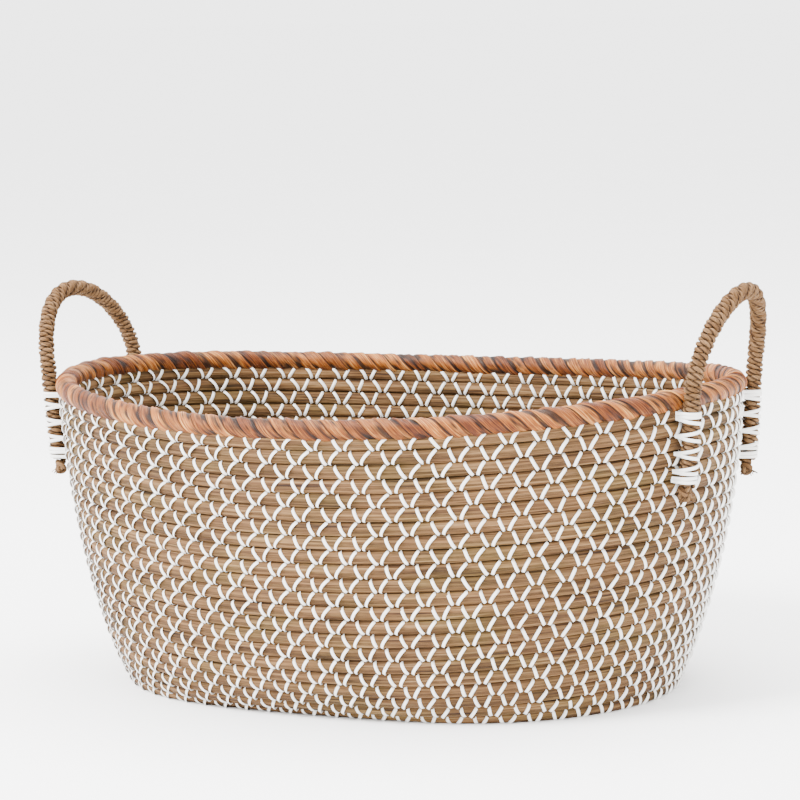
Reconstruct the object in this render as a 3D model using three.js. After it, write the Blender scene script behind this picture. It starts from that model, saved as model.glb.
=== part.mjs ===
// Coiled seagrass storage basket: an oval coiled base, a wall of stitched coil courses,
// a bark-wrapped rim roll and two rope handles whose legs are lashed to the wall.
// Millimetres, +Z up, +X along the basket; the origin is on the floor under the middle.

import * as THREE from "three";
import { mergeVertices } from "three/addons/utils/BufferGeometryUtils.js";

// Rim, measured to the middle of the rim roll
const rimHalfLength = 266;
const rimHalfWidth = 194;
const rimRadius = 7.6;
const rimCoreRadius = 4;
const rimSeat = 4.8; // from the top of the last course up to the middle of the roll that sits down over it
const rimSlotAngle = THREE.MathUtils.degToRad(80); // the wrap is open under the core, where it is sewn on

// Wall courses
const courseCount = 22;
const coursePitch = 10.3; // from one course to the next, measured up the slope of the wall
const courseThickness = 9.4; // through the wall
const courseGap = 1.6;
const lengthCurve = 1.77; // how quickly the ends of the wall turn upright
const widthCurve = 5.5; // how tightly the foot of the long sides turns in
const widthFlare = 0.3; // share of the long sides' spread that is an even slope
const endLift = 7.5; // how much looser courses raise the ends of the wall above its long sides

// Base: an oval spiral of two sets of half turns
const baseTurns = 13;
const basePitch = 10.15;
const baseThickness = 9.5;
const baseHalfStraight = 70.2; // by how much its half length is over its half width
const endSoftness = 0.25; // how gradually its long sides curve into its ends
const baseStartShort = 4.2; // the coil's first, tapered end stops this far inside the straight
const baseStartTaper = 12;
const baseEdgeStep = 11.9; // from the last base turn to the first wall course

// Handles
const ropeRadius = 6.5;
const ropeCoreRadius = 3.5;
const legHalfSpread = 60; // from the middle of the end to each leg, on the rim line
const loopRise = { left: 59, right: 65 }; // from the flex line up to the middle of the rope
const loopReach = 17; // how far the top of the loop stands outside its legs
const flexAngle = THREE.MathUtils.degToRad(30); // each way from rest
const footLean = THREE.MathUtils.degToRad(8); // the loop starts this far outward from upright
const lashingThickness = 0.9;
const lashingGap = 0.6; // round the leg, which doesn't run quite straight
const lashingClear = 1.4; // from the underside of the rim roll down to the lashing
const lashingStart = rimRadius + lashingClear; // below the rim line, measured down the wall
const lashingLength = 49;
const legTail = 2; // rope below the lashing
const knotRadius = 6.4;
const knotHeight = 14;

// Clearance between pieces that touch on the real basket
const fitGap = 0.3;

// Fineness of the solids
const ringSteps = 28;
const halfTurnSteps = 12;
const loopSteps = 14;
const legSteps = 8;
const ropeSides = 8;
const wrapSteps = 7;

const colours = {
  seagrass: { color: 0xb39a70, roughness: 0.75, metalness: 0 },
  bark: { color: 0xc17a48, roughness: 0.6, metalness: 0 },
  cane: { color: 0xa98a5c, roughness: 0.8, metalness: 0 },
  rope: { color: 0xa98562, roughness: 0.85, metalness: 0 },
  ribbon: { color: 0xe8e6e0, roughness: 0.4, metalness: 0 },
};

const basket = new THREE.Group();

function addPiece(name, geometry, finish) {
  const piece = new THREE.Mesh(closed(geometry), new THREE.MeshStandardMaterial(colours[finish]));
  piece.name = name;
  basket.add(piece);
}

// Keeps only the positions and joins the points that two faces share.
function closed(geometry) {
  geometry.deleteAttribute("normal");
  geometry.deleteAttribute("uv");
  const solid = mergeVertices(geometry, 1e-3);
  solid.computeVertexNormals();
  return solid;
}

// ---------------------------------------------------------------- the wall's shape

// A station is a direction in plan. Every outline of the wall has the same outward
// normal at the same station, so neighbouring courses lie side by side all round.
function stationAt(turn) {
  const facing = Math.atan2(rimHalfLength * Math.sin(turn), rimHalfWidth * Math.cos(turn));
  const normal = new THREE.Vector2(Math.cos(facing), Math.sin(facing));
  return { normal, heights: levelHeights(turn) };
}

const baseHalfWidth = baseTurns * basePitch + baseEdgeStep;
const baseHalfLength = baseHalfWidth + baseHalfStraight;
const courseHalfHeight = (coursePitch - courseGap) / 2;

// Levels are numbered from 0 at the first course up to the rim roll. Each has a rise, its
// share of the way up the wall.
const rimLevel = courseCount;
const wallLength = (courseCount - 1) * coursePitch + courseHalfHeight + rimSeat;
const rises = Array.from({ length: courseCount }, (_, i) => (i * coursePitch) / wallLength).concat(1);

// Half length and half width of the outline at a rise.
function spreadAt(rise) {
  const left = 1 - rise;
  const widthShare = widthFlare * left + (1 - widthFlare) * left ** widthCurve;
  return {
    halfLength: rimHalfLength - (rimHalfLength - baseHalfLength) * left ** lengthCurve,
    halfWidth: rimHalfWidth - (rimHalfWidth - baseHalfWidth) * widthShare,
  };
}

// Along an oval, the share of the half straight that a point with this normal stands out.
function straightShare(normalX) {
  return (normalX * Math.hypot(1, endSoftness)) / Math.hypot(normalX, endSoftness);
}

// The outline is an oval at the base, with two round ends eased into long sides, an
// ellipse at the rim, and a mix of the two between them.
function outlineAt(normal, rise) {
  const { halfLength, halfWidth } = spreadAt(rise);
  const { x, y } = normal;
  const reach = Math.hypot(halfLength * x, halfWidth * y);
  const ellipse = new THREE.Vector2((halfLength ** 2 * x) / reach, (halfWidth ** 2 * y) / reach);
  const oval = new THREE.Vector2((halfLength - halfWidth) * straightShare(x) + halfWidth * x, halfWidth * y);
  return oval.lerp(ellipse, rise * (2 - rise));
}

// A course lies one pitch up the slope from the one below it, at the ends and at the
// middle of the long sides, and the ends climb a little further. The height passes
// smoothly from one to the other between them.
function levelHeights(turn) {
  const heights = [Math.hypot(courseHalfHeight, courseThickness / 4)];
  for (let level = 1; level <= rimLevel; level++) {
    const above = spreadAt(rises[level]);
    const below = spreadAt(rises[level - 1]);
    const share = rises[level] - rises[level - 1];
    const climbAt = (side) => Math.sqrt((share * wallLength) ** 2 - (above[side] - below[side]) ** 2);
    const endClimb = climbAt("halfLength") + endLift * share;
    const climb = THREE.MathUtils.lerp(climbAt("halfWidth"), endClimb, Math.cos(turn) ** 2);
    heights.push(heights[level - 1] + climb);
  }
  return heights;
}

const stations = Array.from({ length: ringSteps }, (_, i) => stationAt((2 * Math.PI * i) / ringSteps));

// A point on the middle of the wall at any level, whole or between two.
function wallAt(station, level) {
  const low = Math.max(Math.min(Math.floor(level), rimLevel - 1), 0);
  const between = (list) => THREE.MathUtils.lerp(list[low], list[low + 1], level - low);
  return { plan: outlineAt(station.normal, between(rises)), height: between(station.heights) };
}

function leanAt(station, level) {
  const above = wallAt(station, Math.min(level + 1, rimLevel));
  const below = wallAt(station, Math.max(level - 1, 0));
  const outward = above.plan.clone().sub(below.plan).dot(station.normal);
  return Math.atan2(outward, above.height - below.height);
}

// ---------------------------------------------------------------- rings

// Bends a round ring of the given section to the wall's outline at a level. The
// section's first axis points out of the wall and its second up the slope.
function ringAt(section, level) {
  const hoop = 100;
  const profile = [...section, section[0]].map((p) => new THREE.Vector2(hoop + p.x, p.y));
  const ring = new THREE.LatheGeometry(profile, ringSteps);
  const points = ring.attributes.position;
  for (let i = 0; i < points.count; i++) {
    const angle = Math.atan2(points.getX(i), points.getZ(i));
    const index = Math.round((angle / (2 * Math.PI)) * ringSteps);
    const station = stations[(index + ringSteps) % ringSteps];
    const out = Math.hypot(points.getX(i), points.getZ(i)) - hoop;
    const up = points.getY(i);
    const { plan, height } = wallAt(station, level);
    const lean = leanAt(station, level);
    plan.addScaledVector(station.normal, out * Math.cos(lean) + up * Math.sin(lean));
    points.setXYZ(i, plan.x, plan.y, height - out * Math.sin(lean) + up * Math.cos(lean));
  }
  return ring;
}

function courseSection() {
  const across = courseThickness / 2;
  const corners = [[1, 0], [0.5, 1], [-0.5, 1], [-1, 0], [-0.5, -1], [0.5, -1]];
  return corners.map(([x, y]) => new THREE.Vector2(x * across, y * courseHalfHeight));
}

// An arc of points round the rim roll, from one lip of its slot to the other.
function slotArc(radius, from, to) {
  return Array.from({ length: wrapSteps + 1 }, (_, i) => {
    const angle = THREE.MathUtils.lerp(from, to, i / wrapSteps);
    return new THREE.Vector2(radius * Math.cos(angle), radius * Math.sin(angle));
  });
}

function rimWrapSection() {
  const start = -Math.PI / 2 + rimSlotAngle / 2;
  const end = (3 * Math.PI) / 2 - rimSlotAngle / 2;
  const inner = rimCoreRadius + fitGap;
  return [...slotArc(rimRadius, start, end), ...slotArc(inner, end, start)];
}

function rimCoreSection() {
  return Array.from({ length: 6 }, (_, i) => {
    const angle = (i * Math.PI) / 3;
    return new THREE.Vector2(rimCoreRadius * Math.cos(angle), rimCoreRadius * Math.sin(angle));
  });
}

// ---------------------------------------------------------------- base

// Half turns on the left are centred on the middle of the base, and those on the right
// half a pitch further back, so the coil moves out by one pitch in every turn.
function halfTurn(radius, side, share) {
  const around = Math.PI * share;
  const normal = new THREE.Vector2(Math.sin(around) * side, -Math.cos(around) * side);
  const middle = new THREE.Vector2(baseHalfStraight * straightShare(normal.x), side > 0 ? basePitch / 2 : 0);
  return { plan: middle.addScaledVector(normal, radius), normal, size: 1 };
}

// The stops of the coil from its start in the middle of the base to its tapered end,
// each with the direction away from the middle and the coil's size there.
function baseRoute() {
  const route = baseStart();
  for (let turn = 1; turn <= baseTurns; turn++) {
    for (let i = 0; i < halfTurnSteps; i++) {
      route.push(halfTurn((turn - 0.5) * basePitch, 1, i / halfTurnSteps));
    }
    for (let i = 0; i < halfTurnSteps; i++) {
      route.push(halfTurn(turn * basePitch, -1, i / halfTurnSteps));
    }
  }
  return route.concat(baseTail());
}

// The coil starts with a straight run that fills the middle of the first turn.
function baseStart() {
  const length = baseHalfStraight - baseStartShort;
  const middle = halfTurn(basePitch / 2, 1, 0);
  const start = [];
  for (const back of [length, length - baseStartTaper, length / 2]) {
    const plan = new THREE.Vector2(middle.plan.x - back, middle.plan.y);
    start.push({ plan, normal: middle.normal, size: back === length ? 0.5 : 1 });
  }
  return start;
}

// The last half turn thins out as the gap between the spiral and the first course closes.
function baseTail() {
  const tail = [];
  const tailSteps = halfTurnSteps - 2;
  for (let i = 0; i <= tailSteps; i++) {
    const inner = halfTurn((baseTurns - 0.5) * basePitch, 1, i / halfTurnSteps);
    const outer = outlineAt(inner.normal, 0);
    const room = outer.sub(inner.plan).dot(inner.normal) - basePitch - baseEdgeStep;
    const size = Math.max(1 + room / basePitch, 0.25);
    const middle = inner.plan.addScaledVector(inner.normal, (basePitch * (1 + size)) / 2);
    tail.push({ plan: middle, normal: inner.normal, size });
  }
  return tail;
}

// Bends a straight six-sided bar along a flat route, lying on the floor.
function barAlong(route, width, height) {
  const flat = Math.sin(Math.PI / 3);
  const bar = new THREE.CylinderGeometry(1, 1, 1, 6, route.length - 1, false, Math.PI / 2);
  const points = bar.attributes.position;
  for (let i = 0; i < points.count; i++) {
    const stop = route[Math.round((0.5 - points.getY(i)) * (route.length - 1))];
    const out = (-points.getX(i) * stop.size * width) / 2;
    const up = (points.getZ(i) / flat + 1) * stop.size * (height / 2);
    points.setXYZ(i, stop.plan.x + stop.normal.x * out, stop.plan.y + stop.normal.y * out, up);
  }
  return bar;
}

// ---------------------------------------------------------------- handles

function roundShape(radius, boreRadius) {
  const shape = new THREE.Shape().absarc(0, 0, radius, 0, 2 * Math.PI);
  if (boreRadius) shape.holes.push(new THREE.Path().absarc(0, 0, boreRadius, 0, 2 * Math.PI));
  return shape;
}

function rodAlong(path, radius, boreRadius, steps) {
  const settings = { steps, bevelEnabled: false, extrudePath: path, curveSegments: ropeSides / 2 };
  return new THREE.ExtrudeGeometry(roundShape(radius, boreRadius), settings);
}

// A leg follows the outside of the wall under one station of the rim.
const legOffset = {
  rim: rimRadius + fitGap + ropeRadius,
  wall: courseThickness / 2 + fitGap + lashingThickness + lashingGap + ropeRadius,
};
const legTurn = Math.asin(legHalfSpread / rimHalfWidth);

// The middle of the rope at a distance below the rim line, for an end (+1 right,
// -1 left) and a side (+1 back, -1 front).
function ropeBesideWall(end, side, drop) {
  const turn = end > 0 ? side * legTurn : Math.PI - side * legTurn;
  const station = stationAt(turn);
  const level = rimLevel - drop / coursePitch;
  const { plan, height } = wallAt(station, level);
  const offset = THREE.MathUtils.lerp(legOffset.rim, legOffset.wall, Math.min(drop / lashingStart, 1));
  plan.addScaledVector(station.normal, offset);
  return new THREE.Vector3(plan.x, plan.y, height);
}

// The flex line runs through both crossings, level with the top of the rim.
function crossingAt(end, side) {
  return ropeBesideWall(end, side, 0).add(new THREE.Vector3(0, 0, rimRadius));
}

// The legs stop this far under the flex line, so the loop has room to turn.
const flexGap = ropeRadius * Math.sin(flexAngle + footLean) + fitGap;

function loopPath(end, rise) {
  const front = crossingAt(end, -1);
  const back = crossingAt(end, 1);
  const top = new THREE.Vector3(front.x + end * loopReach, 0, front.z + rise);
  const half = (foot) => [
    foot,
    new THREE.Vector3(foot.x + end * rise * 0.5 * Math.tan(footLean), foot.y, foot.z + rise * 0.5),
    new THREE.Vector3(top.x, foot.y * 0.6, top.z),
  ];
  const path = new THREE.CurvePath();
  path.add(new THREE.CubicBezierCurve3(...half(front), top));
  path.add(new THREE.CubicBezierCurve3(top, ...half(back).reverse()));
  return path;
}

function legPath(end, side, top, bottom) {
  const stops = [];
  const count = 12;
  for (let i = 0; i <= count; i++) {
    const drop = THREE.MathUtils.lerp(top, bottom, i / count);
    stops.push(drop < 0 ? crossingAt(end, side).setZ(crossingAt(end, side).z - rimRadius - drop)
      : ropeBesideWall(end, side, drop));
  }
  return new THREE.CatmullRomCurve3(stops);
}

function addLeg(name, end, side) {
  const lashingEnd = lashingStart + lashingLength;
  const ropeEnd = lashingEnd + legTail;
  const rope = legPath(end, side, flexGap - rimRadius, ropeEnd);
  const lashing = legPath(end, side, lashingStart, lashingEnd);
  const lashingBore = ropeRadius + lashingGap;
  addPiece(`${name}_leg_core`, rodAlong(rope, ropeCoreRadius, 0, legSteps), "cane");
  addPiece(`${name}_leg_wrap`, rodAlong(rope, ropeRadius, ropeCoreRadius + fitGap, legSteps), "rope");
  addPiece(`${name}_lashing`, rodAlong(lashing, lashingBore + lashingThickness, lashingBore, legSteps), "ribbon");
  addPiece(`${name}_end_knot`, knotUnder(end, side, ropeEnd), "rope");
}

function knotUnder(end, side, ropeEnd) {
  const knot = new THREE.SphereGeometry(1, ropeSides, 6);
  knot.rotateX(Math.PI / 2);
  knot.scale(knotRadius, knotRadius, knotHeight / 2);
  const place = ropeBesideWall(end, side, ropeEnd + knotHeight / 2 + fitGap);
  return knot.translate(place.x, place.y, place.z);
}

function addHandle(name, end, rise) {
  const path = loopPath(end, rise);
  addPiece(`${name}_handle_core`, rodAlong(path, ropeCoreRadius, 0, loopSteps), "cane");
  addPiece(`${name}_handle_wrap`, rodAlong(path, ropeRadius, ropeCoreRadius + fitGap, loopSteps), "rope");
  addLeg(`${name}_front`, end, -1);
  addLeg(`${name}_back`, end, 1);
}

// ---------------------------------------------------------------- assembly

addPiece("base_coil", barAlong(baseRoute(), baseThickness, courseHalfHeight * 2), "seagrass");
for (let course = 0; course < courseCount; course++) {
  const number = String(course + 1).padStart(2, "0");
  addPiece(`wall_course_${number}`, ringAt(courseSection(), course), "seagrass");
}
addPiece("rim_core", ringAt(rimCoreSection(), rimLevel), "cane");
addPiece("rim_wrap", ringAt(rimWrapSection(), rimLevel), "bark");
addHandle("left", -1, loopRise.left);
addHandle("right", 1, loopRise.right);

export default basket;
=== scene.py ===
"""Looks of the seagrass storage basket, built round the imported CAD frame.

Lengths in this file are millimetres in the part's own frame, +Z up and +X along the basket,
and become metres where a mesh is made. The wall, base and handle lines follow the same
formulas as the CAD part, so every new piece lies where its solid lies.
"""

import logging
import math
from dataclasses import dataclass
from enum import Enum

import bpy
import numpy as np
from mathutils import Matrix, Vector

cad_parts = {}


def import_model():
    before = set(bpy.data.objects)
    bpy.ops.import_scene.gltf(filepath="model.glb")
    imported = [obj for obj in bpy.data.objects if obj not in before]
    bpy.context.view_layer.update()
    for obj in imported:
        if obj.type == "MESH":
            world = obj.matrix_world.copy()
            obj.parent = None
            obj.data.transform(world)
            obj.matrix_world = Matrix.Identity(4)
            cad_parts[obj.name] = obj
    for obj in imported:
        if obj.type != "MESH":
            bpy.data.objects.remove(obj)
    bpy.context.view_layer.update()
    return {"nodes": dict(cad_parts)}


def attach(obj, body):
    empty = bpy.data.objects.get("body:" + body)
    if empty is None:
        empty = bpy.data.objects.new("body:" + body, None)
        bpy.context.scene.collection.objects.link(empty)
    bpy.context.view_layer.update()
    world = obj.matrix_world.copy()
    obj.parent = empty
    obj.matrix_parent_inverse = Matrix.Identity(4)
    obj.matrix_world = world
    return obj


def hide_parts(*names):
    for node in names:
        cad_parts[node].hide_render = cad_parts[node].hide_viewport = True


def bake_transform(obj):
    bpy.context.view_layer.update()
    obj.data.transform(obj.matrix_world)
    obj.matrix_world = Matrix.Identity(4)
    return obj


log = logging.getLogger("basket")
MM = 0.001
BASKET = "basket"
FULL_TURN = 2 * math.pi
FLOOR_GAP = 0.15  # lowest height of any mesh point, so that nothing dips under the floor
LASHING_CLEAR = 1.4  # from the underside of the rim roll down to the lashings


# ---------------------------------------------------------------- numbers and meshes


def unit(vectors: np.ndarray) -> np.ndarray:
    """Return the vectors divided by their lengths, along the last axis."""
    return vectors / np.maximum(np.linalg.norm(vectors, axis=-1, keepdims=True), 1e-9)


def travelled(points: np.ndarray) -> np.ndarray:
    """Distance of every point of a line from the line's start, along it."""
    return np.append(0, np.cumsum(np.linalg.norm(np.diff(points, axis=0), axis=-1)))


def read_line(at: np.ndarray, way: np.ndarray, columns: np.ndarray) -> np.ndarray:
    """Reads a line of vectors between its points, in proportion.

    Args:
        at: where to read it, on the same scale as way.
        way: the place of each point, rising.
        columns: vectors shaped (n, k).

    Returns:
        Vectors in the shape of at, with a last axis of k.
    """
    return np.stack([np.interp(at, way, column) for column in columns.T], -1)


def stacked(shape: tuple[int, ...], *values: object) -> np.ndarray:
    """Spreads each value over the same grid and stacks them as one vector for each point."""
    return np.stack([np.broadcast_to(value, shape) for value in values], -1)


def round_line(middle: np.ndarray, first: np.ndarray, second: np.ndarray, angle: np.ndarray,
               radius: np.ndarray) -> np.ndarray:
    """Points round a line, at a radius and an angle from the first direction to the second."""
    return middle + first * (np.cos(angle) * radius)[..., None] \
        + second * (np.sin(angle) * radius)[..., None]


def closed_noise(seed: int, rows: int, columns: int, u: np.ndarray, v: np.ndarray) -> np.ndarray:
    """Smooth noise that closes on itself both ways.

    A lattice of random heights is read between its points with the smooth step 3f^2 - 2f^3.

    Args:
        seed: seed of the lattice.
        rows: lattice cells in one run of u.
        columns: lattice cells in one run of v.
        u: positions that repeat every 1.
        v: positions that repeat every 1.

    Returns:
        Heights from -1 to 1, in the shape of u and v together.
    """
    lattice = np.random.default_rng(seed).uniform(-1, 1, (rows, columns))
    x, y = np.broadcast_arrays(np.mod(u, 1) * rows, np.mod(v, 1) * columns)
    i, j = np.floor(x).astype(int), np.floor(y).astype(int)
    fx, fy = x - i, y - j
    fx, fy = fx * fx * (3 - 2 * fx), fy * fy * (3 - 2 * fy)
    i, j, k, m = i % rows, j % columns, (i + 1) % rows, (j + 1) % columns
    low = lattice[i, j] * (1 - fx) + lattice[k, j] * fx
    high = lattice[i, m] * (1 - fx) + lattice[k, m] * fx
    return low * (1 - fy) + high * fy


def squircle(angle: np.ndarray, power: float) -> tuple[np.ndarray, np.ndarray]:
    """Points of |x|^power + |y|^power = 1 at the given angles."""
    c, s = np.cos(angle), np.sin(angle)
    return np.sign(c) * np.abs(c) ** (2 / power), np.sign(s) * np.abs(s) ** (2 / power)


def tube_faces(rows: int, columns: int, ring: bool, shift: int = 0) -> np.ndarray:
    """Quads of a grid whose columns close on themselves.

    Args:
        rows: stops along the tube.
        columns: points round each stop, an even number.
        ring: whether the last stop joins the first. If not, both ends are capped.
        shift: stops by which the grid has slipped when its columns come round again.

    Returns:
        An array of four point numbers for each quad.
    """
    i, j = np.meshgrid(np.arange(rows if ring else rows - 1), np.arange(columns), indexing="ij")
    slip = np.where(j + 1 == columns, shift, 0)
    here, there = i % rows, (i + 1) % rows
    after = (j + 1) % columns
    sides = [here * columns + j, (here - slip) % rows * columns + after,
             (there - slip) % rows * columns + after, there * columns + j]
    faces = np.stack(sides, -1).reshape(-1, 4)
    if ring:
        return faces
    k = np.arange(columns // 2 - 1)
    cap = np.stack([k, columns - 1 - k, columns - 2 - k, k + 1], -1)
    return np.concatenate([faces, cap[:, ::-1], cap + (rows - 1) * columns])


def repeated(faces: np.ndarray, points: int, copies: int) -> np.ndarray:
    """The same faces for several copies of a shape with this many points."""
    return (faces[None] + np.arange(copies)[:, None, None] * points).reshape(-1, 4)


def facing_out(points: np.ndarray, faces: np.ndarray) -> np.ndarray:
    """Turns the faces over if the volume inside them comes out negative."""
    a, b, c, d = (points[faces[:, k]] for k in range(4))
    volume = np.einsum("ij,ij->", a, np.cross(b, c) + np.cross(c, d))
    return faces if volume > 0 else faces[:, ::-1]


def make_piece(name: str, points: np.ndarray, faces: np.ndarray,
               attributes: dict[str, np.ndarray]) -> bpy.types.Object:
    """Makes a smooth mesh object of quads, with every point at least the floor gap above zero.

    Args:
        name: the piece's name.
        points: corner points in millimetres.
        faces: four point numbers for each quad.
        attributes: a number or a vector for every point, by attribute name.

    Returns:
        The new object, at the origin with its place in its mesh.
    """
    points = points.reshape(-1, 3).copy()
    points[:, 2] = np.maximum(points[:, 2], FLOOR_GAP)
    faces = facing_out(points, faces)
    mesh = bpy.data.meshes.new(name)
    mesh.vertices.add(len(points))
    mesh.vertices.foreach_set("co", (points * MM).astype(np.float32).ravel())
    mesh.loops.add(faces.size)
    mesh.loops.foreach_set("vertex_index", faces.astype(np.int32).ravel())
    mesh.polygons.add(len(faces))
    mesh.polygons.foreach_set("loop_start", np.arange(0, faces.size, 4, dtype=np.int32))
    mesh.polygons.foreach_set("use_smooth", np.ones(len(faces), dtype=bool))
    for key, values in attributes.items():
        values = values.reshape(len(points), -1).astype(np.float32)
        kind, field = ("FLOAT", "value") if values.shape[1] == 1 else ("FLOAT_VECTOR", "vector")
        mesh.attributes.new(key, kind, "POINT").data.foreach_set(field, values.ravel())
    mesh.update(calc_edges=True)
    mesh.validate()
    piece = bpy.data.objects.new(name, mesh)
    bpy.context.scene.collection.objects.link(piece)
    log.info("%s: %d quads", name, len(faces))
    return piece


def ribbon_mesh(centres: np.ndarray, normals: np.ndarray, width: float, thickness: float,
                tilt: np.ndarray | float = 0.0) -> tuple[np.ndarray, np.ndarray, np.ndarray]:
    """Flat ribbons with a square-cornered section, carried along many lines at once.

    Each stop's section spans the direction across the line within the surface, and the
    surface's normal, after both are turned about the line by the tilt.

    Args:
        centres: line points, shaped (ribbon, stop, 3).
        normals: surface normals at those points.
        width: across the ribbon.
        thickness: through it.
        tilt: radians that the ribbon is turned about its own line, one for each ribbon or for all.

    Returns:
        Points shaped (ribbon, stop, 4, 3), faces, and (along, across, number) for each point.
    """
    count, stops = centres.shape[:2]
    tangent = unit(np.gradient(centres, axis=1))
    side = unit(np.cross(tangent, normals))
    turn = np.broadcast_to(np.asarray(tilt, float).reshape(-1, 1, 1), (count, 1, 1))
    flat = side * np.cos(turn) + normals * np.sin(turn)
    through = normals * np.cos(turn) - side * np.sin(turn)
    across = np.array([-0.5, 0.5, 0.5, -0.5]) * width
    depth = np.array([-0.5, -0.5, 0.5, 0.5]) * thickness
    points = centres[:, :, None] + flat[:, :, None] * across[:, None] \
        + through[:, :, None] * depth[:, None]
    faces = repeated(tube_faces(stops, 4, ring=False), stops * 4, count)
    lengths = np.linalg.norm(np.diff(centres, axis=1), axis=-1)
    along = np.concatenate([np.zeros((count, 1)), np.cumsum(lengths, axis=1)], axis=1)
    flow = stacked((count, stops, 4), along[:, :, None], across, np.arange(count)[:, None, None] * 7.0)
    return points, faces, flow


# ---------------------------------------------------------------- the wall's shape


@dataclass(frozen=True)
class WallShape:
    """The outlines and heights of the wall, by the same formulas as the CAD part."""

    rim_half_length: float = 266.0
    rim_half_width: float = 194.0
    rim_radius: float = 7.6
    rim_seat: float = 4.8
    courses: int = 22
    pitch: float = 10.3
    thickness: float = 9.4
    gap: float = 1.6
    length_curve: float = 1.77
    width_curve: float = 5.5
    width_flare: float = 0.3
    end_lift: float = 7.5
    base_turns: int = 13
    base_pitch: float = 10.15
    base_half_straight: float = 70.2
    end_softness: float = 0.25
    base_edge_step: float = 11.9

    @property
    def base_half_width(self) -> float:
        """Half width of the first course's outline."""
        return self.base_turns * self.base_pitch + self.base_edge_step

    @property
    def half_height(self) -> float:
        """Half the height of a course's solid."""
        return (self.pitch - self.gap) / 2

    @property
    def wall_length(self) -> float:
        """From the middle of the first course up the slope to the middle of the rim roll."""
        return (self.courses - 1) * self.pitch + self.half_height + self.rim_seat

    @property
    def rises(self) -> np.ndarray:
        """Share of the way up the wall of every level, the rim roll's last."""
        return np.append(np.arange(self.courses) * self.pitch / self.wall_length, 1.0)

    def spread(self, rise: np.ndarray) -> tuple[np.ndarray, np.ndarray]:
        """Half length and half width of the outline at a rise."""
        left = 1 - rise
        base_half_length = self.base_half_width + self.base_half_straight
        length = self.rim_half_length - (self.rim_half_length - base_half_length) * left**self.length_curve
        share = self.width_flare * left + (1 - self.width_flare) * left**self.width_curve
        return length, self.rim_half_width - (self.rim_half_width - self.base_half_width) * share

    def straight_share(self, x: np.ndarray) -> np.ndarray:
        """Share of the half straight that a point of an oval stands out, by its normal's x."""
        return x * math.hypot(1, self.end_softness) / np.hypot(x, self.end_softness)

    def outline(self, normal: np.ndarray, rise: float) -> np.ndarray:
        """Plan points of the outline at a rise, where its outward normal is the given one.

        The outline is a mix of an oval, with two round ends eased into long sides, and an
        ellipse, which takes over with the rise as rise * (2 - rise).

        Args:
            normal: outward unit vectors in plan, shaped (n, 2).
            rise: from 0 at the first course to 1 at the rim roll.

        Returns:
            Points shaped (n, 2).
        """
        length, width = self.spread(rise)
        x, y = normal[:, 0], normal[:, 1]
        reach = np.hypot(length * x, width * y)
        ellipse = np.stack([length**2 * x / reach, width**2 * y / reach], -1)
        oval = np.stack([(length - width) * self.straight_share(x) + width * x, width * y], -1)
        mix = rise * (2 - rise)
        return oval * (1 - mix) + ellipse * mix

    def lines(self, turn: np.ndarray) -> np.ndarray:
        """The middle line of every level at the given stations.

        Each level lies one pitch up the slope from the one below it at the ends and at the
        middle of the long sides, so its climb there is the root of step^2 - outward^2. The
        ends climb a little more, and the two climbs are mixed by cos(turn)^2.

        Args:
            turn: stations in radians round the rim.

        Returns:
            Points shaped (level, station, 3).
        """
        facing = np.arctan2(self.rim_half_length * np.sin(turn), self.rim_half_width * np.cos(turn))
        normal = np.stack([np.cos(facing), np.sin(facing)], -1)
        plans = np.stack([self.outline(normal, rise) for rise in self.rises])
        share = np.diff(self.rises)
        step = share * self.wall_length
        end, side = (np.sqrt(step**2 - np.diff(half) ** 2)[:, None] for half in self.spread(self.rises))
        end = end + self.end_lift * share[:, None]
        climb = side + (end - side) * np.cos(turn) ** 2
        first = np.full((1, len(turn)), math.hypot(self.half_height, self.thickness / 4))
        heights = np.cumsum(np.concatenate([first, climb]), axis=0)
        return np.concatenate([plans, heights[..., None]], -1)


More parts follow.
